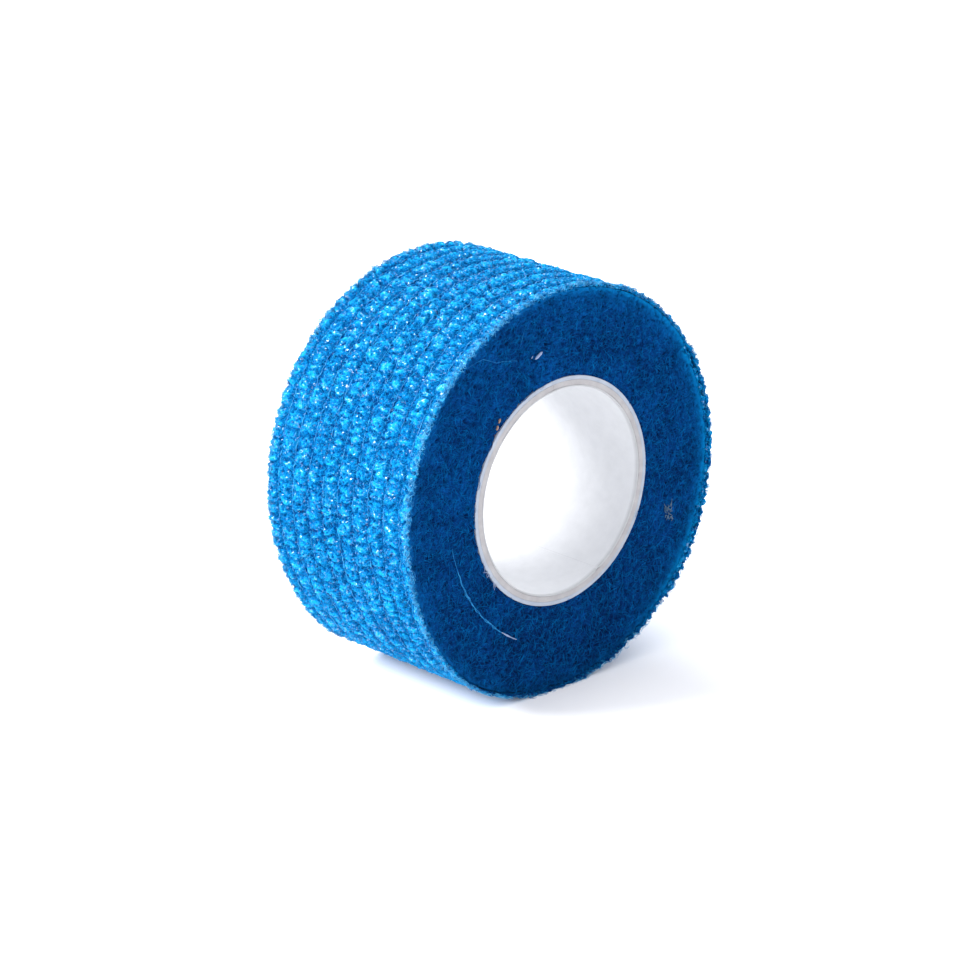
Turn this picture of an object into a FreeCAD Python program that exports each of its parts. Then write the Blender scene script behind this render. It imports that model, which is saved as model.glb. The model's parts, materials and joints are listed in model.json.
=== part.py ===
import FreeCAD, Part
import os
import Sketcher

# A roll of cohesive crinkle bandage, 25 mm wide, wound on a paper core. Millimetres.
#
# The roll's axis is Y, +Z is up and the front face looks towards -Y. The origin is the
# centre of the core's bore. Angles about the axis run from +X towards +Z, as they are
# seen from the front, and the bandage is wound clockwise in that view.
#
# The bandage is a laminate: an inner and an outer nonwoven web with elastic yarns
# between them. It starts at its inner end, which is glued to the core, and each turn
# lies one layer pitch further out. Its free end is the tail: four short lengths of the
# same laminate that peel off the roll about hinge lines parallel to the axis.
#
# Every sub-part is one rectangular section that is turned or wound about the axis.

os.makedirs("parts", exist_ok=True)
doc = FreeCAD.newDocument("bandage_roll")
V = FreeCAD.Vector

DIMENSIONS = {
    # Core, from the bore outwards. Each ply is a sheet rolled up with a butt seam.
    "bandage_width": 25.0,          # the core is as long as the bandage is wide
    "bore_radius": 13.2,
    "liner_thickness": 0.20,
    "board_thickness": 0.67,
    "outer_ply_thickness": 0.47,
    "glue_line": 0.03,              # between one ply and the next
    "seam_angle": 1.0,              # width of each butt seam, in degrees
    "liner_seam_at": -62.0,
    "board_seam_at": 96.0,
    "outer_ply_seam_at": 215.0,
    # Glue strip that holds the inner end of the bandage to the core.
    "glue_thickness": 0.06,
    "glue_clearance": 0.02,         # between the core and the glue strip
    "glue_starts_at": 162.0,
    "glue_angle": 28.0,
    # Bandage. Heights are counted outwards from the base of its layer.
    "wrap_base_radius": 14.68,      # base of the first layer at the inner end
    "layer_pitch": 0.60,            # growth of the radius in one turn
    "full_turns": 18,
    "inner_end_at": 165.0,
    "web_thickness": 0.18,
    "inner_web_height": 0.03,
    "outer_web_height": 0.39,
    "yarn_height": 0.25,
    "yarn_thickness": 0.10,
    "yarn_width": 0.40,
    "yarn_spacing": 2.75,
    "yarn_count": 9,
    # Tail.
    "tail_root_at": 25.0,
    "tail_segment_angle": 17.5,
    "tail_segments": 4,
    "tail_gap_angle": 0.5,          # between one segment and the next
    # Flat contact patch where the soft roll stands on its rim.
    "foot_below_axis": 25.73,
    "foot_cutter_size": 12.0,
}

# Turns from the inner end of the bandage to the root of the tail.
WOUND_TURNS = "(dims.full_turns + (dims.inner_end_at - dims.tail_root_at) / 360)"
HALF_GAP_TURNS = "(dims.tail_gap_angle / 720)"


def add_dimensions():
    sheet = doc.addObject("Spreadsheet::Sheet", "dims")
    for row, (alias, value) in enumerate(DIMENSIONS.items(), start=1):
        cell = f"A{row}"
        sheet.set(cell, str(value))
        sheet.setAlias(cell, alias)
    doc.recompute()
    return sheet


def origin_feature(body, role):
    return next(item for item in body.Origin.OriginFeatures if item.Role == role)


def add_section(body, width, inner_radius, thickness):
    """Draw a rectangle on the plane through the axis, centred on the middle of the roll."""
    section = body.newObject("Sketcher::SketchObject", f"{body.Name}_section")
    section.AttachmentSupport = [(origin_feature(body, "YZ_Plane"), "")]
    section.MapMode = "FlatFace"
    corners = [V(-1, 20, 0), V(1, 20, 0), V(1, 21, 0), V(-1, 21, 0)]
    for start, end in zip(corners, corners[1:] + corners[:1]):
        section.addGeometry(Part.LineSegment(start, end), False)
    for edge in range(4):
        section.addConstraint(Sketcher.Constraint("Coincident", edge, 2, (edge + 1) % 4, 1))
    section.addConstraint(Sketcher.Constraint("Horizontal", 2))
    for side in (1, 3):
        section.addConstraint(Sketcher.Constraint("Vertical", side))
    section.addConstraint(Sketcher.Constraint("Symmetric", 0, 1, 0, 2, -2))
    sizes = {
        "width": (Sketcher.Constraint("DistanceX", 0, 1, 0, 2, 2.0), width),
        "inner_radius": (Sketcher.Constraint("DistanceY", -1, 1, 0, 1, 20.0), inner_radius),
        "thickness": (Sketcher.Constraint("DistanceY", 1, 1, 1, 2, 1.0), thickness),
    }
    for name, (constraint, size) in sizes.items():
        section.renameConstraint(section.addConstraint(constraint), name)
        section.setExpression(f"Constraints.{name}", size)
    return section


def place(body, start_angle, along_axis="0"):
    """Turn a sub-part about the roll's axis so that its section starts at start_angle."""
    body.Placement = FreeCAD.Placement(V(0, 0, 0), FreeCAD.Rotation(V(0, 1, 0), 90))
    body.setExpression("Placement.Rotation.Angle", f"90 - ({start_angle})")
    body.setExpression("Placement.Base.y", along_axis)


def add_turned(name, inner_radius, thickness, start_angle, sweep_angle):
    """Add a part of a plain ring, as long as the core, that runs clockwise from start_angle."""
    body = doc.addObject("PartDesign::Body", name)
    section = add_section(body, "dims.bandage_width", inner_radius, thickness)
    ring = body.newObject("PartDesign::Revolution", f"{name}_ring")
    ring.Profile = section
    ring.ReferenceAxis = (origin_feature(body, "Y_Axis"), [""])
    ring.setExpression("Angle", sweep_angle)
    place(body, start_angle)
    return body


def add_wound(name, width, height, thickness, turns, turns_before="0", along_axis="0"):
    """Add a flat spiral that runs clockwise and starts turns_before from the inner end."""
    body = doc.addObject("PartDesign::Body", name)
    radius = f"dims.wrap_base_radius + {height} + dims.layer_pitch * ({turns_before})"
    section = add_section(body, width, radius, thickness)
    spiral = body.newObject("PartDesign::AdditiveHelix", f"{name}_spiral")
    spiral.Profile = section
    spiral.ReferenceAxis = (origin_feature(body, "Y_Axis"), [""])
    spiral.Mode = "height-turns-growth"
    spiral.Height = 0
    spiral.setExpression("Growth", "dims.layer_pitch")
    spiral.setExpression("Turns", turns)
    place(body, f"dims.inner_end_at - 360 * ({turns_before})", along_axis)
    return body


def make_core():
    board_radius = "dims.bore_radius + dims.liner_thickness + dims.glue_line"
    outer_ply_radius = f"{board_radius} + dims.board_thickness + dims.glue_line"
    core_radius = f"{outer_ply_radius} + dims.outer_ply_thickness"
    plies = [
        ("core_inner_liner", "dims.bore_radius", "dims.liner_thickness", "dims.liner_seam_at"),
        ("core_board_ply", board_radius, "dims.board_thickness", "dims.board_seam_at"),
        ("core_outer_ply", outer_ply_radius, "dims.outer_ply_thickness", "dims.outer_ply_seam_at"),
    ]
    core = [add_turned(*ply, "360 - dims.seam_angle") for ply in plies]
    glue_radius = f"{core_radius} + dims.glue_clearance"
    glue = ("core_glue_strip", glue_radius, "dims.glue_thickness", "dims.glue_starts_at")
    core.append(add_turned(*glue, "dims.glue_angle"))
    return core


def cut_foot(web):
    """Flatten the lowest stretch of the outer web into the patch that the roll stands on."""
    cutter = doc.addObject("Part::Box", "foot_cutter")
    cutter.setExpression("Length", "dims.foot_cutter_size")
    cutter.setExpression("Width", "2 * dims.bandage_width")
    cutter.setExpression("Height", "dims.foot_cutter_size")
    cutter.setExpression("Placement.Base.x", "-dims.foot_cutter_size / 2")
    cutter.setExpression("Placement.Base.y", "-dims.bandage_width")
    cutter.setExpression("Placement.Base.z", "-dims.foot_below_axis - dims.foot_cutter_size")
    footed = doc.addObject("Part::Cut", "outer_web")
    footed.Base = web
    footed.Tool = cutter
    return footed


def make_roll_strip(dims):
    """Wind the laminate from the core to the root of the tail."""
    turns = f"{WOUND_TURNS} - {HALF_GAP_TURNS}"
    full_width = "dims.bandage_width"
    inner_web = add_wound(
        "inner_web", full_width, "dims.inner_web_height", "dims.web_thickness", turns)
    whole_outer_web = add_wound(
        "outer_web_uncut", full_width, "dims.outer_web_height", "dims.web_thickness", turns)
    strip = [inner_web, cut_foot(whole_outer_web)]
    for number in range(int(dims.yarn_count)):
        strip.append(add_wound(
            f"elastic_yarn_{number + 1:02d}", "dims.yarn_width", "dims.yarn_height",
            "dims.yarn_thickness", turns,
            along_axis=f"({number} - (dims.yarn_count - 1) / 2) * dims.yarn_spacing"))
    return strip


def repeat_across_width(body):
    """Repeat a yarn's spiral at every yarn position across the bandage."""
    row = body.newObject("PartDesign::LinearPattern", f"{body.Name}_row")
    row.Originals = [body.Tip]
    row.Direction = (origin_feature(body, "Y_Axis"), [""])
    row.setExpression("Length", "(dims.yarn_count - 1) * dims.yarn_spacing")
    row.setExpression("Occurrences", "dims.yarn_count")
    body.Tip = row


def make_tail_segment(index):
    """Make one short length of the laminate: its two webs and its row of yarns."""
    name = f"tail_{index + 1}"
    before = f"{WOUND_TURNS} + {index} * dims.tail_segment_angle / 360 + {HALF_GAP_TURNS}"
    turns = f"dims.tail_segment_angle / 360 - 2 * {HALF_GAP_TURNS}"
    webs = [
        add_wound(f"{name}_{side}", "dims.bandage_width", f"dims.{side}_height",
                  "dims.web_thickness", turns, before)
        for side in ("inner_web", "outer_web")
    ]
    yarns = add_wound(
        f"{name}_yarns", "dims.yarn_width", "dims.yarn_height", "dims.yarn_thickness",
        turns, before, along_axis="-(dims.yarn_count - 1) / 2 * dims.yarn_spacing")
    doc.recompute()
    repeat_across_width(yarns)
    return webs + [yarns]


def check(sub_parts, whole_outer_web):
    """Stop if any object failed, any shape is unsound or the foot removed nothing."""
    for item in doc.Objects:
        if {"Invalid", "Error"} & set(item.State):
            raise RuntimeError(f"{item.Label} did not recompute: {item.State}")
    for part in sub_parts:
        if part.Shape.isNull() or not part.Shape.isValid():
            raise RuntimeError(f"{part.Label} has no valid shape")
    footed = next(part for part in sub_parts if part.Label == "outer_web")
    if footed.Shape.Volume >= whole_outer_web.Shape.Volume:
        raise RuntimeError("the foot removed nothing from the outer web")


def main():
    dims = add_dimensions()
    sub_parts = make_core() + make_roll_strip(dims)
    for index in range(int(dims.tail_segments)):
        sub_parts += make_tail_segment(index)
    doc.recompute()
    check(sub_parts, doc.getObject("outer_web_uncut"))
    for part in sub_parts:
        part.Shape.exportStep(f"parts/{part.Label}.step")
        solids = len(part.Shape.Solids)
        print(f"{part.Label}: {solids} solid(s), {part.Shape.Volume:.2f} mm3")


main()
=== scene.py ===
import json
import math

import bpy
import numpy as np
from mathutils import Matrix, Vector


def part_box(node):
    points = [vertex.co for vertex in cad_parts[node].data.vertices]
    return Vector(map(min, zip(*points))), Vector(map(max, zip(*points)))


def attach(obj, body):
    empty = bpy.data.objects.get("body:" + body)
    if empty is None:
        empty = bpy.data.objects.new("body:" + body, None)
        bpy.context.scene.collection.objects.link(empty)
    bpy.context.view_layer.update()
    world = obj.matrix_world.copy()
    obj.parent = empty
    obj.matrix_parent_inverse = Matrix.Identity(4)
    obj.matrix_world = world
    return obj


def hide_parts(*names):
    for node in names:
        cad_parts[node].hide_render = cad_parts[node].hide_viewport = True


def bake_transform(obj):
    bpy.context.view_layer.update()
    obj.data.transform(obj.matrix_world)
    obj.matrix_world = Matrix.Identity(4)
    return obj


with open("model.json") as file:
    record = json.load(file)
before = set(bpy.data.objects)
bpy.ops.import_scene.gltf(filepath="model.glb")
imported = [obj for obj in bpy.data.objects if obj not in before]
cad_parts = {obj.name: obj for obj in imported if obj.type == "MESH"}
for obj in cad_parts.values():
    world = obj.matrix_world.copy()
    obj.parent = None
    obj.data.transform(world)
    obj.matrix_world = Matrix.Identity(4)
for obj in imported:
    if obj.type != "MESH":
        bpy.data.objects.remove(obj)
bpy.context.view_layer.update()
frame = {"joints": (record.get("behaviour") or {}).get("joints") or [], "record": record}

# Looks of a roll of cohesive crinkle bandage on a white paper core.
#
# The shape functions work in millimetres. Round the roll, a place on the bandage is its
# strip angle: degrees clockwise past the root of the tail, as seen from the front. It
# keeps counting from turn to turn, so the same crinkles run on from the outer turn into
# the tail. Place along the strip is the arc length, and place across it is y.

MM = 0.001
SEED = 5

MOUNTS = {mount["name"]: mount for mount in frame["record"]["mounts"]}
WIDTH = MOUNTS["core_bore"]["dims"]["length_mm"]
BORE_RADIUS = MOUNTS["core_bore"]["dims"]["r_mm"]
FLOOR_Z = MOUNTS["foot"]["pos_m"][2] / MM
EDGE = WIDTH / 2


def angle_and_radius(x, z):
    return math.degrees(math.atan2(z, x)), math.hypot(x, z) / MM


HINGES = [angle_and_radius(j["pos_m"][0], j["pos_m"][2]) for j in frame["joints"]]
ROOT_ANGLE, ROOT_RADIUS = HINGES[0]
SEGMENT = HINGES[0][0] - HINGES[1][0]
TIP_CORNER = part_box("tail_4_outer_web")[0]
TAIL_ANGLE = ROOT_ANGLE - angle_and_radius(TIP_CORNER.x, TIP_CORNER.z)[0]
CORE_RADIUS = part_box("core_outer_ply")[1].x / MM
LAYER_PITCH = 0.60
YARN_SPACING = 2.75
YARN_COUNT = 9
FIRST_YARN = -YARN_SPACING * (YARN_COUNT - 1) / 2
YARN_DEPTH = 0.46               # of the groove over a yarn, below the tops of the ribs
BUMP_PITCH = 1.25               # along a rib
STRIP_THICKNESS = 0.47
JOIN_BEFORE_ROOT = 9.0          # degrees before the root where the tail's first piece starts

# Places round the roll below are in degrees from +X towards +Z.
SAG, SAG_ANGLE, SAG_REACH = 0.70, 235.0, 23.0       # mm, degrees and degrees
FLATTENED_ANGLE, FLATTENED_REACH = 256.0, 30.0      # where the crinkle has been pressed flat

# Core.
BOARD_THICKNESS = 0.67
PLY_GLUE = 0.01
LINER_SEAM, BOARD_SEAM, OUTER_PLY_SEAM = -62.0, 96.0, 215.0
LINER_SEAM_GAP, PLY_SEAM_GAP = 0.004, 0.10          # degrees
LINER_NOTCH, PLY_NOTCH = 0.14, 0.05                 # mm, in the cut edge at the seam
PLY_EDGE_SOFTNESS, GLUE_EDGE_SOFTNESS = 0.05, 0.15
GLUE_START, GLUE_END, GLUE_RADIUS = 162.0, 134.0, 14.65


# ---------------------------------------------------------------- noise and small maths

def gradient_noise(x, y, seed):
    """Smooth noise of about -1 to 1 whose features are one unit apart."""
    size = 256
    directions = np.random.default_rng(SEED * 1000 + seed).uniform(0, 2 * np.pi, (size, size))
    column, row = np.floor(x).astype(int), np.floor(y).astype(int)
    u, v = x - column, y - row
    fade_u = u * u * u * (u * (6 * u - 15) + 10)
    fade_v = v * v * v * (v * (6 * v - 15) + 10)

    def corner(step_x, step_y):
        angle = directions[(column + step_x) % size, (row + step_y) % size]
        return np.cos(angle) * (u - step_x) + np.sin(angle) * (v - step_y)

    near = corner(0, 0) * (1 - fade_u) + corner(1, 0) * fade_u
    far = corner(0, 1) * (1 - fade_u) + corner(1, 1) * fade_u
    return 1.5 * (near * (1 - fade_v) + far * fade_v)


def creases(x, y, seed):
    """Ridged noise: 1 on thin wandering ridges, falling towards 0 between them."""
    return 1 - np.abs(gradient_noise(x, y, seed)) * 1.8


def random_by_cell(column, cell, seed):
    """A fixed random number from 0 to 1 for each cell of each column."""
    table = np.random.default_rng(SEED * 1000 + seed).uniform(0, 1, (16, 1009))
    return table[column % 16, cell % 1009]


def smooth_step(low, high, x):
    t = np.clip((x - low) / (high - low), 0, 1)
    return t * t * (3 - 2 * t)


def degrees_from(middle, angle):
    """Degrees from the middle angle to each angle, from -180 to 180."""
    return np.mod(angle - middle + 180, 360) - 180


# ---------------------------------------------------------------- the bandage's surface

def arc_length(strip_angle):
    return np.radians(strip_angle) * (ROOT_RADIUS + LAYER_PITCH * strip_angle / 720)


def top_radius(strip_angle):
    """Radius of the tops of the ribs at this place on the strip."""
    return ROOT_RADIUS + LAYER_PITCH * strip_angle / 360


def yarn_wander(s, line):
    """How far a yarn strays from its straight line, in mm."""
    return 0.13 * gradient_noise(s / 7.0, line * 3.7 + 0.5, 1)


def rib_place(s, y):
    """(rib number, place across the rib from 0 to 1, distance to the nearest yarn)."""
    rough = (y - FIRST_YARN) / YARN_SPACING
    across = rough - yarn_wander(s, np.round(rough)) / YARN_SPACING
    rib = np.clip(np.floor(across), -1, YARN_COUNT - 1).astype(int)
    u = across - rib
    gap_after = np.where(rib == YARN_COUNT - 1, 9.0, 1 - u)
    gap_before = np.where(rib == -1, 9.0, u)
    return rib, u, np.minimum(gap_before, gap_after) * YARN_SPACING


def bumps(count, rib, u):
    """Rounded bumps along each rib: up to 1 on their tops and 0 in the creases between."""
    middle = np.floor(count).astype(int)
    height = np.zeros(np.broadcast(count, u).shape)
    for cell in (middle - 1, middle, middle + 1):
        shift, lean, length, rise = [random_by_cell(rib + 1, cell, k) for k in (4, 5, 6, 7)]
        along = (count - cell - 0.5 - 0.45 * (shift - 0.5)) / (0.42 + 0.20 * length)
        over = (u - 0.5 - 0.40 * (lean - 0.5)) / 0.52
        reach = along ** 2 + over ** 2
        bump = (0.55 + 0.45 * rise) * np.exp(-1.6 * reach ** 1.3)
        dimple = (lean > 0.55) * np.exp(-reach / 0.08)
        height = np.maximum(height, bump - 0.4 * dimple)
    return height


def left_by_weight(s):
    """Share of the crinkle's height that is left, less where the roll has lain on its rim."""
    from_flat = degrees_from(FLATTENED_ANGLE, ROOT_ANGLE - np.degrees(s / ROOT_RADIUS))
    return 1 - 0.62 * np.exp(-(from_flat / FLATTENED_REACH) ** 2)


def off_the_floor(angle):
    """1 round most of the roll, falling to 0 where its rims meet the floor."""
    return smooth_step(-0.97, -0.65, np.sin(angle))


def crinkle(s, y):
    """Height of the crinkled web above the nominal rib tops, in mm: 0 or less, mostly."""
    warp_s = s + 0.50 * gradient_noise(s / 1.7, y / 1.4, 2)
    warp_y = y + 0.26 * gradient_noise(s / 1.2, y / 1.5, 3)
    rib, u, to_yarn = rib_place(s, warp_y)
    count = warp_s / BUMP_PITCH + 40.0 * random_by_cell(rib + 1, np.zeros_like(rib), 8)
    tightness = 0.50 + 0.50 * gradient_noise(s / 1.3, rib * 3.1 + 0.5, 9)
    groove = 1 - np.clip(tightness, 0.05, 1) * np.exp(-(to_yarn / 0.26) ** 1.6)
    folds = creases(warp_s / 0.55, warp_y / 1.05, 10)
    fine = creases(s / 0.36, y / 0.36, 11)
    height = -YARN_DEPTH + 0.56 * groove * (0.12 + 0.88 * bumps(count, rib, u))
    height += 0.20 * (0.4 + 0.6 * groove) * (folds - 0.5) + 0.11 * (fine - 0.55)
    height += 0.05 * gradient_noise(s / 0.23, y / 0.23, 14)
    height += 0.05 * gradient_noise(s / 6.0, y / 6.0, 15)
    curled = 0.10 + 0.16 * gradient_noise(s / 0.6, np.sign(y) * 5.7, 16)
    height += curled * np.exp(-(EDGE - np.abs(y)) / 0.5)
    return height * left_by_weight(s)


def sagged(x, z):
    """The soft turns hang a little outwards, low on one side."""
    radius = np.hypot(x, z)
    from_sag = degrees_from(SAG_ANGLE, np.degrees(np.arctan2(z, x)))
    share = np.clip((radius - CORE_RADIUS) / (ROOT_RADIUS - CORE_RADIUS), 0, 1)
    scale = 1 + SAG * share * np.exp(-(from_sag / SAG_REACH) ** 2) / radius
    return x * scale, z * scale


def strip_to_space(strip_angle, radius, y):
    """Points in the frame's axes, in mm, sagged and never below the floor."""
    angle = np.radians(ROOT_ANGLE - strip_angle)
    x, z = sagged(radius * np.cos(angle), radius * np.sin(angle))
    return np.stack([x, y + 0 * z, np.maximum(z, FLOOR_Z + 0.01)], axis=-1)


def edge_offset(strip_angle, side):
    """How far the cut edge of the strip stands out of the nominal face, in mm."""
    s = arc_length(strip_angle)
    ragged = 0.26 * gradient_noise(s / 0.8, side * 9.1 + 0 * s, 12)
    ragged += 0.16 * creases(s / 0.42, side * 4.3 + 0 * s, 13)
    return 0.22 + ragged


# ---------------------------------------------------------------- mesh building

def enclosed_volume(points, faces):
    """Six times the volume inside closed faces: negative where they look inwards."""
    total = 0.0
    for group in faces:
        first = points[group[:, 0]]
        for k in range(1, group.shape[1] - 1):
            turn = np.cross(points[group[:, k]], points[group[:, k + 1]])
            total += np.einsum("ij,ij->", first, turn)
    return total


def make_piece(name, points, faces, material, attributes=None):
    """Make a mesh object from points in mm and a list of arrays of faces."""
    mesh = bpy.data.meshes.new(name)
    points = np.asarray(points, float).reshape(-1, 3)
    faces = [np.atleast_2d(group) for group in faces]
    if enclosed_volume(points, faces) < 0:
        faces = [group[:, ::-1] for group in faces]
    mesh.vertices.add(len(points))
    mesh.vertices.foreach_set("co", (points * MM).ravel())
    corners = np.concatenate([group.ravel() for group in faces])
    sizes = np.concatenate([np.full(len(group), group.shape[1]) for group in faces])
    mesh.loops.add(len(corners))
    mesh.loops.foreach_set("vertex_index", corners.astype(np.int32))
    mesh.polygons.add(len(sizes))
    starts = np.concatenate([[0], np.cumsum(sizes)[:-1]])
    mesh.polygons.foreach_set("loop_start", starts.astype(np.int32))
    mesh.polygons.foreach_set("use_smooth", np.ones(len(sizes), bool))
    mesh.update(calc_edges=True)
    for key, values in (attributes or {}).items():
        layer = mesh.attributes.new(key, "FLOAT", "POINT")
        layer.data.foreach_set("value", np.ravel(values).astype(np.float32))
    mesh.materials.append(material)
    piece = bpy.data.objects.new(name, mesh)
    bpy.context.scene.collection.objects.link(piece)
    return piece


def grid_quads(columns, rows, wrap_columns=False, wrap_rows=False):
    """Quads between the points of a grid that is stored column by column."""
    i = np.arange(columns if wrap_columns else columns - 1)
    j = np.arange(rows if wrap_rows else rows - 1)
    i, j = np.meshgrid(i, j, indexing="ij")
    i_next, j_next = (i + 1) % columns, (j + 1) % rows
    quads = [i * rows + j, i * rows + j_next, i_next * rows + j_next, i_next * rows + j]
    return np.stack(quads, axis=-1).reshape(-1, 4)


def tubes(paths, radii, normals, sides=3):
    """Points and faces of many closed thin tubes, each along one row of paths."""
    count, steps = paths.shape[:2]
    along = np.gradient(paths, axis=1)
    along /= np.linalg.norm(along, axis=-1, keepdims=True) + 1e-9
    side = np.cross(along, normals)
    side /= np.linalg.norm(side, axis=-1, keepdims=True) + 1e-9
    up = np.cross(side, along)
    turn = 2 * np.pi * np.arange(sides) / sides
    ring = side[:, :, None] * np.cos(turn)[:, None] + up[:, :, None] * np.sin(turn)[:, None]
    points = paths[:, :, None] + radii[:, :, None, None] * ring
    base = np.arange(count)[:, None] * steps * sides
    quads = (grid_quads(steps, sides, wrap_rows=True).ravel() + base).reshape(-1, 4)
    start_cap = base + np.arange(sides)[::-1]
    end_cap = base + (steps - 1) * sides + np.arange(sides)
    return points.reshape(-1, 3), [quads, start_cap, end_cap]


# ---------------------------------------------------------------- materials

class Nodes:
    """A short way to write a material's node tree."""

    def __init__(self, name):
        self.material = bpy.data.materials.new(name)
        self.material.use_nodes = True
        self.tree = self.material.node_tree
        self.shader = self.tree.nodes["Principled BSDF"]
        self.place = self.add("ShaderNodeTexCoord").outputs["Object"]

    def set(self, node, sockets):
        for key, value in sockets.items():
            if isinstance(value, bpy.types.NodeSocket):
                self.tree.links.new(value, node.inputs[key])
            else:
                node.inputs[key].default_value = value

    def add(self, kind, sockets=None, **settings):
        node = self.tree.nodes.new(kind)
        for key, value in settings.items():
            setattr(node, key, value)
        self.set(node, sockets or {})
        return node

    def noise(self, size_mm, detail=3.0, roughness=0.55):
        sockets = {"Vector": self.place, "Scale": 1 / (size_mm * MM), "Detail": detail,
                   "Roughness": roughness}
        return self.add("ShaderNodeTexNoise", sockets).outputs["Fac"]

    def strands(self, size_mm, width):
        """Thin curved lines, 1 along their middles and 0 between them."""
        across = self.math("SUBTRACT", self.noise(size_mm, 1.0), 0.5)
        return self.math("SUBTRACT", 1.0, self.math("MULTIPLY", self.absolute(across), 1 / width))

    def absolute(self, value):
        return self.add("ShaderNodeMath", {0: value}, operation="ABSOLUTE").outputs[0]

    def clamp(self, value):
        return self.add("ShaderNodeClamp", {"Value": value}).outputs[0]

    def value(self, name):
        return self.add("ShaderNodeAttribute", attribute_name=name).outputs["Fac"]

    def math(self, operation, a, b):
        return self.add("ShaderNodeMath", {0: a, 1: b}, operation=operation).outputs[0]

    def ramp(self, factor, stops):
        node = self.add("ShaderNodeValToRGB", {"Fac": factor})
        elements = node.color_ramp.elements
        while len(elements) < len(stops):
            elements.new(0.5)
        for element, (position, colour) in zip(elements, stops):
            element.position = position
            element.color = (*colour, 1)
        return node.outputs["Color"]

    def mix(self, factor, a, b, blend="MIX"):
        node = self.add("ShaderNodeMix", data_type="RGBA", blend_type=blend)
        self.set(node, {0: factor, 6: a, 7: b})
        return node.outputs[2]

    def bump(self, height, distance_mm, strength=1.0, normal=None):
        sockets = {"Height": height, "Distance": distance_mm * MM, "Strength": strength}
        if normal:
            sockets["Normal"] = normal
        return self.add("ShaderNodeBump", sockets).outputs["Normal"]


def web_material():
    """Nonwoven web soaked in latex: crinkled, fibrous and glossy in small patches."""
    n = Nodes("bandage_web")
    # The colour follows the surface height: painted shade in the creases and grooves, painted
    # light on the tops.
    relief = n.value("relief")
    fleece = n.math("MULTIPLY", n.math("SUBTRACT", n.noise(0.18, 6.0, 0.8), 0.5), 2.2)
    level = n.math("ADD", n.math("ADD", n.math("MULTIPLY", relief, 0.82), fleece), 0.08)
    matrix = n.ramp(level, [
        (0.10, (0.000, 0.020, 0.100)),
        (0.40, (0.000, 0.066, 0.225)),
        (0.65, (0.000, 0.124, 0.360)),
        (0.95, (0.008, 0.330, 0.670))])
    strands = n.clamp(n.strands(0.60, 0.045))
    colour = n.mix(n.math("MULTIPLY", strands, 0.45), matrix, (0.008, 0.290, 0.620, 1))
    patches = n.math("ADD", n.noise(0.34, 1.0), n.math("MULTIPLY", relief, 0.13))
    shine = n.ramp(patches, [(0.70, (0.01,) * 3), (0.76, (1.0,) * 3)])
    rough = n.ramp(patches, [(0.68, (0.50,) * 3), (0.75, (0.13,) * 3)])
    roughened = n.ramp(patches, [(0.68, (1.0,) * 3), (0.75, (0.10,) * 3)])
    threads = n.bump(strands, 0.04, n.math("MULTIPLY", roughened, 0.6))
    normal = n.bump(n.noise(0.16, 4.0, 0.7), 0.11, roughened, threads)
    n.set(n.shader, {
        "Base Color": colour, "Roughness": rough, "Normal": normal,
        "Specular IOR Level": shine,
        "Subsurface Weight": 0.10, "Subsurface Scale": 0.0005})
    n.shader.inputs["Subsurface Radius"].default_value = (0.1, 0.5, 1.0)
    return n.material


def felt_material():
    """Cut edges of many turns, pressed into a fuzzy dark felt: a darker copy of the web's blue,
    partly the edges' own tone and partly painted shade of the deep pile.
    """
    n = Nodes("wound_edge")
    # Deeper felt and the lower part of the face come out darker: painted shade.
    relief = n.math("MULTIPLY", n.value("relief"), 0.60)
    fleece = n.math("MULTIPLY", n.math("SUBTRACT", n.noise(0.18, 5.0, 0.75), 0.5), 1.6)
    level = n.math("ADD", relief, fleece)
    # Darker than the web's blue: partly the cut edges' own tone, partly painted shade of the deep
    # pile.
    matrix = n.ramp(level, [
        (0.05, (0.000, 0.009, 0.055)),
        (0.40, (0.000, 0.036, 0.165)),
        (0.80, (0.000, 0.090, 0.320))])
    strands = n.clamp(n.strands(0.75, 0.040))
    matted = n.mix(n.math("MULTIPLY", strands, 0.35), matrix, (0.001, 0.120, 0.390, 1))
    # Painted rim light: the felt pales towards its outer edge.
    colour = n.mix(n.clamp(n.value("rim")), matted, (0.000, 0.210, 0.500, 1))
    normal = n.bump(n.noise(0.15, 5.0, 0.75), 0.10, 0.8)
    n.set(n.shader, {"Base Color": colour, "Roughness": 0.85, "Normal": normal,
                     "Specular IOR Level": 0.03})
    return n.material


def fibre_material(name, low, high, roughness, shine):
    """Loose fibres, each a little different in colour."""
    n = Nodes(name)
    colour = n.ramp(n.noise(0.9, 2.0), [(0.3, low), (0.7, high)])
    normal = n.bump(n.noise(0.05, 2.0), 0.01, 0.4)
    n.set(n.shader, {"Base Color": colour, "Roughness": roughness, "Normal": normal,
                     "Specular IOR Level": shine})
    return n.material


def paper_material(name, low, high, fleck, cut_shade):
    """Paper: soft mottling, short pulp fibres and a matt surface, darker where it is cut."""
    n = Nodes(name)
    colour = n.ramp(n.noise(1.6, 4.0, 0.6), [(0.35, low), (0.65, high)])
    flecks = n.ramp(n.noise(0.22, 3.0, 0.7), [(0.66, (0.0,) * 3), (0.76, (1.0,) * 3)])
    mottled = n.mix(n.math("MULTIPLY", flecks, 0.25), colour, (*fleck, 1))
    fibres = n.bump(n.noise(0.12, 5.0, 0.7), 0.02, 0.5)
    normal = n.bump(n.noise(2.5, 2.0), 0.06, 0.3, fibres)
    cut = n.mix(n.value("cut"), (1, 1, 1, 1), (*[cut_shade] * 3, 1))
    shaded = n.mix(1.0, mottled, cut, "MULTIPLY")
    n.set(n.shader, {"Base Color": shaded, "Roughness": 0.75, "Normal": normal,
                     "Specular IOR Level": 0.20})
    return n.material


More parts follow.
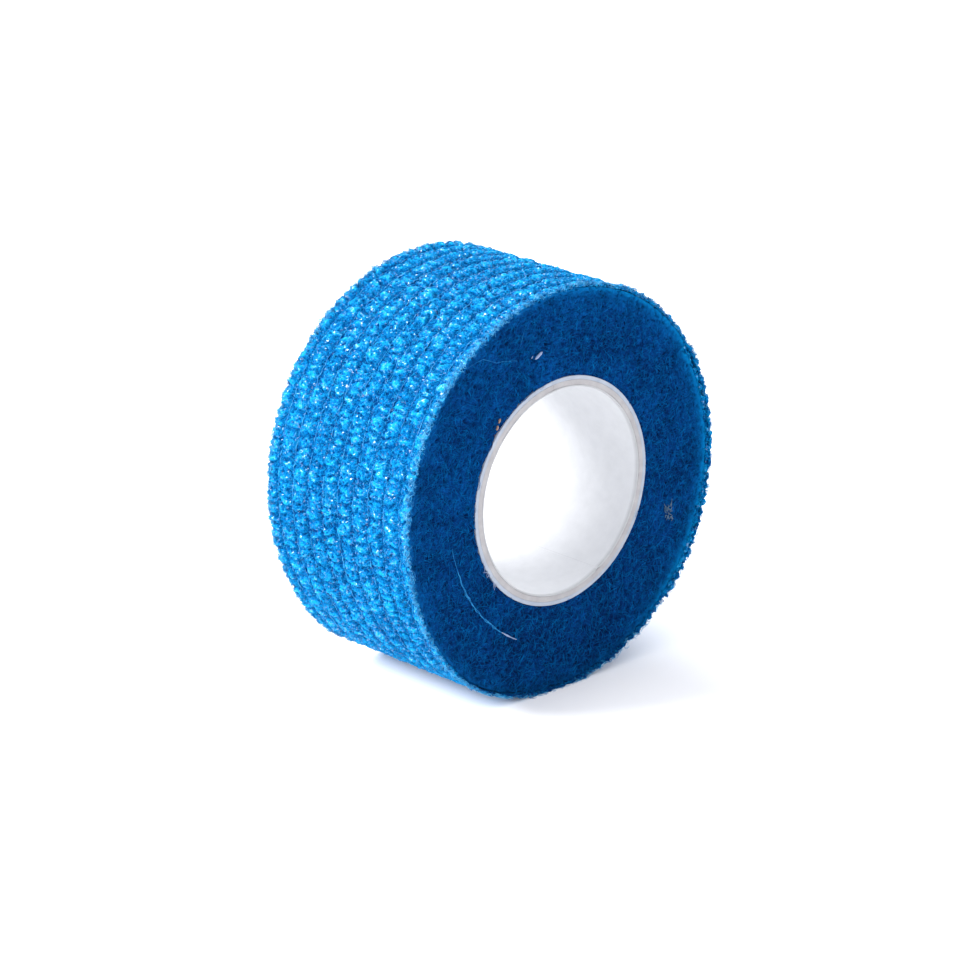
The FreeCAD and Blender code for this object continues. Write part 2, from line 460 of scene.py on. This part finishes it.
def glue_material():
    """Dried glue: brown, mottled and slightly glossy."""
    n = Nodes("dried_glue")
    colour = n.ramp(n.noise(0.4, 4.0), [(0.3, (0.11, 0.07, 0.06)), (0.7, (0.30, 0.17, 0.12))])
    n.set(n.shader, {"Base Color": colour, "Roughness": 0.40,
                     "Normal": n.bump(n.noise(0.2, 3.0), 0.05, 0.6)})
    return n.material


WEB = web_material()
FELT = felt_material()
YARN = fibre_material("elastic_yarn", (0.0, 0.09, 0.31), (0.03, 0.30, 0.60), 0.35, 0.20)
LIGHT_FIBRE = fibre_material("light_fibre", (0.0, 0.10, 0.34), (0.02, 0.38, 0.70), 0.60, 0.02)
FRINGE_FIBRE = fibre_material("fringe_fibre", (0.0, 0.10, 0.33), (0.12, 0.48, 0.78), 0.60, 0.02)
# A darker copy of the web's fibres for the wound faces: painted shade.
DARK_FIBRE = fibre_material("dark_fibre", (0.0, 0.03, 0.15), (0.001, 0.14, 0.42), 0.70, 0.02)
STRAY_FIBRE = fibre_material("stray_fibre", (0.003, 0.12, 0.38), (0.03, 0.25, 0.54), 0.50, 0.05)
LINT = fibre_material("lint", (0.16, 0.24, 0.42), (0.34, 0.38, 0.54), 0.60, 0.05)
GREY_LINT = fibre_material("grey_lint", (0.05, 0.10, 0.17), (0.12, 0.17, 0.23), 0.80, 0.02)
LINER = paper_material("core_liner_paper", (0.56, 0.57, 0.59), (0.59, 0.60, 0.62),
                       (0.56, 0.56, 0.60), 0.72)
BOARD = paper_material("core_board", (0.33, 0.32, 0.33), (0.39, 0.38, 0.39),
                       (0.28, 0.25, 0.24), 1.0)
OUTER_PAPER = paper_material("core_outer_paper", (0.30, 0.34, 0.41), (0.36, 0.40, 0.47),
                             (0.26, 0.32, 0.42), 1.0)
GLUE = glue_material()


# ---------------------------------------------------------------- pieces of the bandage

ACROSS = np.linspace(-EDGE, EDGE, 237)      # rows of points on the outer face
COLUMN_MM = 0.105                           # between rings of points along the strip
YARN_STEP_MM = 0.16
WALL = np.array([0.2, 0.5, 0.8])            # shares of the way up a cut edge
TURN_INNER_ROWS = 5                         # the turn's inner face is hidden, so it is coarse
TURN_SINK, TURN_SINK_OVER = 0.25, 40.0      # mm, and degrees from the start of the outer turn
CUT_EDGE_LIGHT = 0.62           # painted light on the cut edges, as pale as the bumps; painted shade at the foot
INNER_FACE_SHADE = 0.10         # painted shade: the inner face is as dark as a groove


# Height to colour value: low places get painted shade, high places painted light.
def relief_value(height):
    return np.clip((height + YARN_DEPTH + 0.10) / 0.60, 0, 1)


def strip_section(strip_angles, inner_rows, sink):
    """Rings of points round the strip's section, one ring for each strip angle.

    sink is how far each ring's cut edges are drawn in, in mm. Returns the points and
    a colour value for each point from its height, which carries painted shade and painted light."""
    angle = strip_angles[:, None]
    s, top = arc_length(angle), top_radius(angle)
    outer_height = crinkle(s, ACROSS[None])
    rounding = 0.16 * np.exp(-(EDGE - np.abs(ACROSS)) / 0.12)
    outer_height = outer_height - rounding
    offset = {side: edge_offset(angle, side) - sink[:, None] for side in (-1, 1)}
    stretch = np.exp(-(EDGE - np.abs(ACROSS)) / 0.5)
    outer_y = ACROSS + np.where(ACROSS < 0, -offset[-1], offset[1]) * stretch
    # Painted light: the outer face is paler in patches along both cut edges.
    edge_light_patches = gradient_noise(s / 0.55, np.sign(ACROSS)[None] * 3.3 + ACROSS / 0.9, 25)
    painted_edge_light = (0.12 + 0.85 * edge_light_patches) * np.exp(-(EDGE - np.abs(ACROSS)) / 0.7)
    inner = ACROSS[np.linspace(len(ACROSS) - 1, 0, inner_rows).astype(int)]
    inner_height = 0.10 * creases(s / 1.1, inner[None] / 1.3, 21) * np.ones_like(s)
    inner_height += 0.04 * gradient_noise(s / 0.4, inner[None] / 0.4, 22)
    inner_height = -STRIP_THICKNESS + np.maximum(inner_height, 0)
    inner_y = inner + np.where(inner < 0, -offset[-1], offset[1]) * (np.abs(inner) > EDGE - 0.01)

    def wall(side, from_height, to_height, from_y, to_y):
        share = WALL[None]
        fray = 0.10 * gradient_noise(s / 0.35, share * 2.1 + side * 5, 23)
        bulge = side * (0.05 + fray) * np.sin(np.pi * share)
        return (from_height + (to_height - from_height) * share,
                from_y + (to_y - from_y) * share + bulge)

    back = wall(1, outer_height[:, -1:], inner_height[:, :1], outer_y[:, -1:], inner_y[:, :1])
    front = wall(-1, inner_height[:, -1:], outer_height[:, :1], inner_y[:, -1:], outer_y[:, :1])
    heights = np.concatenate([outer_height, back[0], inner_height, front[0]], axis=1)
    ys = np.concatenate([outer_y, back[1], inner_y, front[1]], axis=1)
    relief = relief_value(heights)
    relief[:, :len(ACROSS)] += painted_edge_light
    # Cut edges: painted light, falling to painted shade towards the foot where off_the_floor
    # drops to 0.
    frayed = CUT_EDGE_LIGHT + 0.30 * gradient_noise(s / 0.45, 0 * s + 6.5, 26)
    relief[:, len(ACROSS):] = frayed * off_the_floor(np.radians(ROOT_ANGLE - angle))
    inner_column = len(ACROSS) + len(WALL) + np.flatnonzero(np.abs(inner) < EDGE - 0.8)
    relief[:, inner_column] = INNER_FACE_SHADE
    return strip_to_space(angle + 0 * heights, top + heights, ys), relief


def strip_piece(name, start, end, inner_rows, sink=None, ragged_tip=False):
    """A closed length of crinkled strip from one strip angle to another."""
    columns = int(math.radians(end - start) * ROOT_RADIUS / COLUMN_MM) + 1
    angles = np.linspace(start, end, columns)
    sink = np.zeros(columns) if sink is None else sink(angles)
    points, relief = strip_section(angles, inner_rows, sink)
    if ragged_tip:
        fade = smooth_step(end - 1.5, end, angles)[:, None]
        pull = 0.35 * (gradient_noise(points[..., 1] / 0.8, 0 * points[..., 1], 24) - 0.4)
        turn = np.radians(pull * fade)
        x, z = points[..., 0].copy(), points[..., 2].copy()
        points[..., 0] = x * np.cos(turn) - z * np.sin(turn)
        points[..., 2] = x * np.sin(turn) + z * np.cos(turn)
    rows = points.shape[1]
    first_cap = np.arange(rows)[None]
    last_cap = ((columns - 1) * rows + np.arange(rows)[::-1])[None]
    faces = [grid_quads(columns, rows, wrap_rows=True), first_cap, last_cap]
    return make_piece(name, points, faces, WEB, {"relief": relief})


def yarn_lines(name, start, end, lines, replaced):
    """The elastic yarns in the grooves between the ribs, partly buried in the web."""
    steps = int(math.radians(end - start) * ROOT_RADIUS / YARN_STEP_MM) + 1
    angle = np.linspace(start, end, steps)[None] * np.ones((len(lines), 1))
    s = arc_length(angle)
    line = np.array(lines)[:, None] * np.ones_like(s)
    y = FIRST_YARN + line * YARN_SPACING + yarn_wander(s, line)
    bed = crinkle(s, y)
    dive = 0.13 * gradient_noise(s / 1.3, line * 7.7, 31)
    radius = 0.060 + 0.015 * gradient_noise(s / 0.5, line * 2.9, 32)
    paths = strip_to_space(angle, top_radius(angle) + bed + dive, y)
    outward = paths * np.array([1, 0, 1])
    points, faces = tubes(paths, radius, outward, sides=6)
    piece = make_piece(name, points, faces, YARN)
    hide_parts(*replaced)
    return piece


def place_strip(piece, bodies, hinge):
    """Let a piece ride on one body; given a hinge, just bake its transform into its points."""
    if hinge is None:
        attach(piece, bodies[0])
    else:
        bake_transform(piece)


def make_outer_turn(rng):
    """The outermost full turn. The tail covers its start, so no fibres grow there."""
    start, end = -JOIN_BEFORE_ROOT - 360, -JOIN_BEFORE_ROOT

    def sink(angles):
        return TURN_SINK * (1 - smooth_step(start, start + TURN_SINK_OVER, angles))

    turn = strip_piece("outer_turn", start, end, TURN_INNER_ROWS, sink)
    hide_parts("outer_web")
    yarns = [yarn_lines(f"yarn_{line + 1}", start, end, [line], [f"elastic_yarn_{line + 1:02d}"])
             for line in range(YARN_COUNT)]
    fibres = make_fibres("outer_turn", TAIL_ANGLE - 360, end, rng)
    for piece in (turn, *yarns, *fibres):
        place_strip(piece, ["roll"], None)
    return turn


def make_tail(rng):
    """The four lengths of the free end, split between its hinges."""
    bodies = ["roll", "tail_1", "tail_2", "tail_3", "tail_4"]
    ends = [-JOIN_BEFORE_ROOT] + [(k + 0.5) * SEGMENT for k in range(3)] + [TAIL_ANGLE]
    for k in range(4):
        name = f"tail_{k + 1}"
        start, end = ends[k], ends[k + 1]
        strip = strip_piece(f"{name}_strip", start, end, len(ACROSS), ragged_tip=(k == 3))
        yarns = yarn_lines(f"{name}_yarn_lines", start, end, range(YARN_COUNT),
                           [f"{name}_yarns"])
        fibres = make_fibres(name, start, end, rng)
        for piece in (strip, yarns, *fibres):
            place_strip(piece, bodies[k:k + 2], k * SEGMENT)
        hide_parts(f"{name}_outer_web", f"{name}_inner_web")


# ---------------------------------------------------------------- the wound faces

def layer_place(x, z):
    """(layer number, place within the layer from 0 to 1, arc length along the strip)."""
    radius = np.hypot(x, z)
    clockwise = np.mod(ROOT_ANGLE - np.degrees(np.arctan2(z, x)), 360) / 360
    layer = (radius - ROOT_RADIUS) / LAYER_PITCH - clockwise
    layer = layer + 0.30 * gradient_noise(x / 1.5, z / 1.5, 41)
    number = np.floor(layer).astype(int)
    return number, layer - number, arc_length(360 * (number + clockwise))


def felt_depth(x, z, side):
    """Depth of the wound edge below the face, in mm, at a place on the face."""
    number, share, s = layer_place(x, z)
    ridge = np.abs(np.sin(np.pi * share)) ** 0.5
    tuft = gradient_noise(s / 0.85, number * 3.3 + 50 * side, 42)
    pit = smooth_step(0.34, 0.80, gradient_noise(s / 0.75, number * 5.1 + 2 * share, 43))
    matted = gradient_noise(x / 0.9, z / 0.9, 44 + side)
    fleece = creases(x / 0.34, z / 0.34, 46 + side)
    grain = gradient_noise(x / 0.19, z / 0.19, 48 + side)
    hollow = smooth_step(0.35, 0.85, gradient_noise(x / 1.1, z / 1.1, 52 + side))
    sway = gradient_noise(x / 5, z / 5, 50 + side)
    depth = 0.08 * (1 - ridge) + 0.08 * tuft + 0.30 * pit + 0.09 * matted + 0.20 * hollow
    return depth - 0.08 * (fleece - 0.5) + 0.04 * grain + 0.12 * sway + 0.12


def make_inner_turns():
    """All turns below the outer one: a ring whose two faces are wound, felted edges."""
    columns, face_rows = 1400, 96
    lowest = FLOOR_Z + 0.02
    turn = np.linspace(-360, 0, columns, endpoint=False)[:, None] - JOIN_BEFORE_ROOT
    angle = np.radians(ROOT_ANGLE - turn)
    outer = top_radius(turn) - LAYER_PITCH + 0.06
    inner = CORE_RADIUS + 0.01
    across = outer + (inner - outer) * np.linspace(0, 1, face_rows)
    x, z = across * np.cos(angle), across * np.sin(angle)
    low_x, low_z = sagged(x, z)
    rounded = (0.05 * np.exp(-(across - inner) / 0.08)
               - 0.30 * np.exp(-(outer - across) / 0.5) * off_the_floor(angle))
    # Painted shade: the face's colour value falls towards the bottom of the roll.
    shade = 0.10 * (1 - np.sin(angle)) + 0.08 * np.clip(-np.sin(angle), 0, 1)
    # Painted rim light: the felt's outer rim is paler, most on the +X side, and not where it
    # meets the floor.
    rim_light_share = 0.25 + 0.75 * smooth_step(-0.4, 0.5, np.cos(angle)) * off_the_floor(angle)
    ragged = 1 + 0.35 * gradient_noise(x / 0.7, z / 0.7, 54)
    rim = 0.55 * rim_light_share * ragged * np.exp(-(outer - across) / 0.70)
    rings, reliefs = [], []
    for side in (-1, 1):
        depth = felt_depth(x, z, side) + rounded
        face = np.stack([low_x, side * (EDGE - depth), low_z], axis=-1)
        # Deeper felt comes out darker: painted shade.
        relief = np.clip(1 - (depth + 0.1) / 0.55, 0, 1) - shade
        rings.append(face if side < 0 else face[:, ::-1])
        reliefs.append(relief if side < 0 else relief[:, ::-1])
    points = np.concatenate(rings, axis=1)
    points[..., 2] = np.maximum(points[..., 2], lowest)
    rows = points.shape[1]
    quads = grid_quads(columns, rows, wrap_columns=True, wrap_rows=True)
    relief = np.concatenate(reliefs, axis=1)
    rims = np.concatenate([rim, rim[:, ::-1]], axis=1)
    turns = make_piece("inner_turns", points, [quads], FELT, {"relief": relief, "rim": rims})
    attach(turns, "roll")
    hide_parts("inner_web")
    return turns


# ---------------------------------------------------------------- loose fibres

FIBRES_PER_DEGREE = 26
FRINGE_PER_DEGREE = 36
TUFT = 6                    # fringe fibres that start at the same place
FIBRE_STEPS = 6             # points along one fibre
FRONT_FUZZ, BACK_FUZZ = 8000, 5000
SPECK_STEPS = np.linspace(0, 1, 9)
GREY_CURLS = 20
PAPER_SHREDS = 9


def curl(rng, count, steps, length, bend):
    """Flat curved paths that start at 0: (count, steps) arrays of two coordinates."""
    heading = rng.uniform(0, 2 * np.pi, (count, 1))
    curve = rng.normal(0, bend, (count, 1)) + rng.normal(0, bend * 0.5, (count, steps))
    direction = heading + np.cumsum(curve, axis=1) / steps
    step = length / (steps - 1)
    a = np.cumsum(np.cos(direction), axis=1) * step
    b = np.cumsum(np.sin(direction), axis=1) * step
    return a - a[:, :1], b - b[:, :1]


def taper(radius, steps):
    return radius * (0.35 + 0.65 * np.sin(np.pi * np.linspace(0.08, 0.92, steps)))[None]


def make_face_fuzz(side, count):
    """Fine fibres that lie on and stand out of one wound face."""
    rng = np.random.default_rng(SEED + 60 + side)
    steps = FIBRE_STEPS
    radius = np.sqrt(rng.uniform(CORE_RADIUS ** 2, (ROOT_RADIUS - 0.4) ** 2, (count, 1)))
    angle = rng.uniform(0, 2 * np.pi, (count, 1))
    dx, dz = curl(rng, count, steps, rng.uniform(0.5, 2.2, (count, 1)), 1.4)
    x, z = radius * np.cos(angle) + dx, radius * np.sin(angle) + dz
    lift = rng.uniform(0.02, 0.22, (count, 1)) * np.sin(np.linspace(0.2, 3.0, steps))
    depth = 0.10 + 0.30 * felt_depth(x, z, side) - lift
    reach = np.hypot(x, z)
    low_x, low_z = sagged(x, z)
    paths = np.stack([low_x, side * (EDGE - depth), low_z], axis=-1)
    inside = (reach > CORE_RADIUS - 0.3) & (reach < ROOT_RADIUS - 0.5)
    keep = (inside & (low_z > FLOOR_Z + 0.2)).all(1)
    normals = np.zeros_like(paths[keep]) + np.array([0, side, 0])
    thickness = rng.uniform(0.020, 0.040, (count, 1))[keep]
    points, faces = tubes(paths[keep], taper(thickness, steps), normals)
    name = "front_fuzz" if side < 0 else "back_fuzz"
    fuzz = make_piece(name, points, faces, DARK_FIBRE)
    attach(fuzz, "roll")


def strip_fibres(name, rng, count, start, end, near_edge):
    """Fibres of the web's surface, or the frayed fringe along its two cut edges."""
    steps = FIBRE_STEPS
    angle = rng.uniform(start, end, (count, 1))
    length = rng.uniform(0.4, 1.5, (count, 1))
    along, over = curl(rng, count, steps, length, 1.6)
    if near_edge:
        angle = angle[np.arange(count) // TUFT * TUFT] + rng.normal(0, 0.25, (count, 1))
        side = rng.choice([-1, 1], (count, 1))
        y = side * (EDGE + rng.uniform(-0.35, 0.30, (count, 1))) + over * 0.6
        y = np.clip(y, -EDGE - 0.75, EDGE + 0.75)
    else:
        y = np.clip(rng.uniform(-EDGE, EDGE, (count, 1)) + over, -EDGE, EDGE)
    angle = np.clip(angle + np.degrees(along / ROOT_RADIUS), start, end)
    lift = rng.uniform(0.0, 0.12, (count, 1)) * np.sin(np.linspace(0.2, 3.0, steps))
    height = crinkle(arc_length(angle), np.clip(y, -EDGE, EDGE)) + 0.01 + lift
    if near_edge:
        height = height - rng.uniform(-0.06, 0.34, (count, 1))
    paths = strip_to_space(angle, top_radius(angle) + height, y)
    thickness = rng.uniform(0.015, 0.032, (count, 1))
    points, faces = tubes(paths, taper(thickness, steps), paths * np.array([1, 0, 1]))
    fibres = make_piece(name, points, faces, FRINGE_FIBRE if near_edge else LIGHT_FIBRE)
    return fibres


def make_fibres(name, start, end, rng):
    """The loose fibres on a length of the strip, and the fringe along its cut edges."""
    return [
        strip_fibres(f"{name}_fibres", rng, int(FIBRES_PER_DEGREE * (end - start)),
                     start, end, near_edge=False),
        strip_fibres(f"{name}_fringe", rng, int(FRINGE_PER_DEGREE * (end - start)),
                     start, end, near_edge=True)]


def front_path(angles, radii, proud):
    """A path in front of the wound face, in mm, through these angles and radii.

    The angles are in degrees from +X towards +Z, and proud is how far it stands out."""
    angle = np.radians(angles)
    x, z = radii * np.cos(angle), radii * np.sin(angle)
    y = -EDGE + 0.3 * felt_depth(x, z, -1) - proud
    return np.stack([x, y, z], axis=-1)


def make_stray(name, paths, thickness, material):
    """Stray fibres or specks on the front face, each a closed tube along its path."""
    points, faces, count = [], [], 0
    for path, radius in zip(paths, thickness):
        steps = len(path)
        normals = np.zeros((1, steps, 3)) + np.array([0, -1, 0])
        lumps = 1 + 0.45 * gradient_noise(np.arange(steps) * 0.37 + 9 * count, 0.5, 62)
        thick = taper(np.array([[radius]]), steps) * lumps
        tube, groups = tubes(path[None], thick, normals, sides=6)
        points.append(tube)
        faces.extend(group + count for group in groups)
        count += len(tube)
    piece = make_piece(name, np.concatenate(points), faces, material)
    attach(piece, "roll")
    return piece


def make_stray_fibres():
    """The long light fibre on the front face, two fine hairs, and flecks of white lint."""
    t = np.linspace(0, 1, 60)
    wobble = gradient_noise(t * 14, 0 * t + 0.5, 61)
    arc = front_path(189 + 49 * t, 18.6 + 0.25 * t ** 3 + 0.13 * wobble, 0.10)
    strand = front_path(198 + 44 * t, 18.7 + 0.2 * t ** 3 - 0.17 * wobble, 0.08)
    hair = front_path(np.interp(t, [0, 0.3, 0.6, 1], [129.8, 124.3, 120.8, 112.9]),
                      np.interp(t, [0, 0.3, 0.6, 1], [25.0, 24.0, 22.0, 20.0]), 0.14)
    short_hair = front_path(105.6 + 4.4 * t, 23.5 - 2.2 * t, 0.12)
    make_stray("stray_fibres", [arc, strand, hair, short_hair], [0.050, 0.042, 0.022, 0.018],
               STRAY_FIBRE)
    short = SPECK_STEPS
    tip = front_path(237 + 9 * short, 18.85 + 0.22 * short, 0.12)
    flake = front_path(104.8 - 3.9 * short, 18.6 + 0.4 * short, 0.10)
    speck = front_path(106.4 - 0.8 * short, 18.9 + 0.3 * short, 0.08)
    make_stray("lint", [tip, flake, speck], [0.10, 0.16, 0.06], LINT)
    rng = np.random.default_rng(SEED + 95)
    curls = []
    for _ in range(GREY_CURLS):
        turn = short * rng.uniform(-2.5, 2.5) + rng.uniform(0, 2 * np.pi)
        reach = rng.uniform(0.4, 1.1)
        curls.append(front_path(338.4 + rng.normal(0, 1.7) + 2.4 * reach * np.cos(turn) * short,
                                20.2 + rng.normal(0, 0.30) + reach * np.sin(turn) * short, 0.12))
    make_stray("grey_lint", curls, rng.uniform(0.03, 0.055, GREY_CURLS), GREY_LINT)


# ---------------------------------------------------------------- core

def rounded_slab(half_thickness, softness):
    """Closed outline of a ply's section: (offset from its middle, y) in mm."""
    turn = np.linspace(0, np.pi, 13)
    across = np.sign(np.cos(turn)) * np.abs(np.cos(turn)) ** 0.4
    edge = EDGE - softness + softness * np.sin(turn) ** 0.5
    along = np.linspace(-edge[0], edge[0], 42)[1:-1]
    side = np.ones_like(along)
    offset = np.concatenate([across, -side, across[::-1], side]) * half_thickness
    return offset, np.concatenate([-edge, along, edge, -along])


def core_ply(name, inner, outer, seam_at, seam_gap, notch_depth, material):
    """A rolled paper ply with soft, slightly uneven cut edges and a butt seam."""
    columns = 900
    offset, y = rounded_slab((outer - inner) / 2, PLY_EDGE_SOFTNESS)
    start = seam_at + 0.5 + seam_gap / 2
    angle = np.radians(np.linspace(start, start + 360 - seam_gap, columns))[:, None]
    arc = angle * CORE_RADIUS
    own = 3.7 * outer
    cut = smooth_step(EDGE - 0.5, EDGE, np.abs(y))
    wave = 0.04 * gradient_noise(arc / 6, np.sign(y) * 4 + own, 71)
    nap = 0.03 * gradient_noise(arc / 0.5, offset / 0.25 + own + 9 * np.sign(y), 72)
    from_seam = np.minimum(arc - arc[0], arc[-1] - arc)
    notch = notch_depth * np.exp(-(from_seam / 0.35) ** 2)
    y = y + np.sign(y) * cut * (wave + nap - 0.02 - notch)
    radius = (inner + outer) / 2 + offset + 0.02 * gradient_noise(arc / 7, y / 7, 73)
    points = np.stack([radius * np.cos(angle), y, radius * np.sin(angle)], axis=-1)
    rows = len(offset)
    caps = [np.arange(rows), (columns - 1) * rows + np.arange(rows)[::-1]]
    is_cut = smooth_step(EDGE - 0.25, EDGE - 0.12, np.abs(points[..., 1]))
    ply = make_piece(name, points, [grid_quads(columns, rows, wrap_rows=True), *caps], material,
                     {"cut": is_cut})
    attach(ply, "roll")
    return ply


def make_glue():
    """Dried glue under the start of the bandage, squeezed out in beads at its ends."""
    columns = 240
    offset, y = rounded_slab(1.0, GLUE_EDGE_SOFTNESS)
    angle = np.radians(np.linspace(GLUE_END, GLUE_START, columns))[:, None]
    arc = angle * CORE_RADIUS
    bead = np.maximum(gradient_noise(arc / 0.7, 0 * arc + 3.5, 81), 0)
    bead = bead * np.sin(np.linspace(0, np.pi, columns))[:, None] ** 0.3
    at_edge = smooth_step(EDGE - 0.3, EDGE - 0.05, np.abs(y))
    thickness = 0.030 + 0.10 * bead * at_edge
    radius = GLUE_RADIUS + thickness * offset + 0.07 * bead * at_edge
    y = y + np.sign(y) * at_edge * (0.20 * bead - 0.30)
    points = np.stack([radius * np.cos(angle), y, radius * np.sin(angle)], axis=-1)
    rows = len(offset)
    caps = [np.arange(rows), (columns - 1) * rows + np.arange(rows)[::-1]]
    skin = make_piece("glue_skin", points, [grid_quads(columns, rows, wrap_rows=True), *caps],
                      GLUE)
    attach(skin, "roll")
    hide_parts("core_glue_strip")
    short = SPECK_STEPS
    crumbs = [front_path(132.0 + 2.0 * short, 15.85 - 0.25 * short, 0.12),
              front_path(135.0 + 2.0 * short, 15.50 - 0.30 * short, 0.10)]
    crumb = make_stray("glue_crumbs", crumbs, [0.16, 0.14], GLUE)


def make_paper_fuzz():
    """Short white fibres torn out of the core's outer ply, on the front face."""
    rng = np.random.default_rng(SEED + 90)
    t = SPECK_STEPS
    paths = []
    for angle in rng.uniform(202, 222, PAPER_SHREDS):
        lean, reach = rng.uniform(-4, 4), rng.uniform(0.3, 0.9)
        paths.append(front_path(angle + lean * t ** 2, 14.45 + reach * t, 0.08 + 0.05 * t))
    make_stray("paper_fuzz", paths, rng.uniform(0.02, 0.05, PAPER_SHREDS), LINT)


def make_core():
    """The three paper plies of the core, from the bore outwards."""
    liner_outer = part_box("core_inner_liner")[1].x / MM
    board_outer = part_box("core_board_ply")[1].x / MM
    board_inner = board_outer - BOARD_THICKNESS
    outer_ply_inner = board_outer + PLY_GLUE
    plies = [
        ("liner_ply", BORE_RADIUS, liner_outer, LINER_SEAM, LINER_SEAM_GAP, LINER_NOTCH,
         LINER, "core_liner_paper", "core_inner_liner"),
        ("board_ply", board_inner, board_outer, BOARD_SEAM, PLY_SEAM_GAP, PLY_NOTCH,
         BOARD, "core_board", "core_board_ply"),
        ("outer_paper_ply", outer_ply_inner, CORE_RADIUS, OUTER_PLY_SEAM, PLY_SEAM_GAP,
         PLY_NOTCH, OUTER_PAPER, "core_outer_paper", "core_outer_ply")]
    for name, inner, outer, seam_at, gap, notch_depth, material, slot, node in plies:
        ply = core_ply(name, inner, outer, seam_at, gap, notch_depth, material)
        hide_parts(node)


# ---------------------------------------------------------------- stage, light, camera

FLOOR_SIZE = 3000.0                         # mm from the middle to each side
WORLD_COLOUR, WORLD_STRENGTH = (0.95, 0.96, 1.0, 1), 1.32
CAMERA_AZIMUTH, CAMERA_ELEVATION = -43.42, 18.77
CAMERA_DISTANCE = 0.495
AIM_RIGHT, AIM_UP = -0.00153, -0.00157      # from the middle of the roll
CAMERA_LENS, SENSOR_WIDTH = 148.6, 36.0


def make_floor():
    """A wide pale floor, just mottled enough not to be one flat colour."""
    n = Nodes("pale_floor")
    colour = n.ramp(n.noise(60.0, 2.0), [(0.3, (0.95,) * 3), (0.7, (0.97,) * 3)])
    n.set(n.shader, {"Base Color": colour, "Roughness": 0.9, "Specular IOR Level": 0.1})
    corners = [(x * FLOOR_SIZE, y * FLOOR_SIZE, FLOOR_Z)
               for x, y in ((-1, -1), (1, -1), (1, 1), (-1, 1))]
    floor = make_piece("floor", corners, [np.array([[0, 1, 2, 3]])], n.material)


def add_softbox(name, position, size, power, colour):
    """A round soft light that looks at the middle of the roll."""
    light = bpy.data.lights.new(name, "AREA")
    light.shape = "DISK"
    light.size = size
    light.energy = power
    light.color = colour
    box = bpy.data.objects.new(name, light)
    box.location = position
    box.rotation_euler = (-Vector(position)).to_track_quat("-Z", "Y").to_euler()
    bpy.context.scene.collection.objects.link(box)


def make_lights():
    """A key light, a back light and a bright, slightly cool world."""
    add_softbox("key", (-0.68, 0.46, 0.50), 0.50, 18.0, (1.0, 0.99, 0.98))
    add_softbox("back", (0.20, 0.85, 0.55), 0.60, 6.5, (1.0, 1.0, 1.0))
    world = bpy.data.worlds.new("studio")
    world.use_nodes = True
    background = world.node_tree.nodes["Background"]
    background.inputs["Color"].default_value = WORLD_COLOUR
    background.inputs["Strength"].default_value = WORLD_STRENGTH
    bpy.context.scene.world = world
    bpy.context.scene.view_settings.view_transform = "Standard"


def make_camera():
    azimuth, elevation = math.radians(CAMERA_AZIMUTH), math.radians(CAMERA_ELEVATION)
    back = Vector((math.sin(azimuth) * math.cos(elevation),
                   -math.cos(azimuth) * math.cos(elevation), math.sin(elevation)))
    right = (-back).cross(Vector((0, 0, 1))).normalized()
    up = right.cross(-back)
    aim = right * AIM_RIGHT + up * AIM_UP
    data = bpy.data.cameras.new("camera")
    data.lens = CAMERA_LENS
    data.sensor_width = SENSOR_WIDTH
    data.clip_start = 0.01
    camera = bpy.data.objects.new("camera", data)
    camera.location = back * CAMERA_DISTANCE
    camera.rotation_euler = (aim - camera.location).to_track_quat("-Z", "Y").to_euler()
    bpy.context.scene.collection.objects.link(camera)
    bpy.context.scene.camera = camera


make_camera()
make_lights()
make_floor()
inner_turns = make_inner_turns()
fibre_rng = np.random.default_rng(SEED + 70)
outer_turn = make_outer_turn(fibre_rng)
make_tail(fibre_rng)
make_face_fuzz(-1, FRONT_FUZZ)
make_face_fuzz(1, BACK_FUZZ)
make_core()
make_glue()
make_paper_fuzz()
make_stray_fibres()
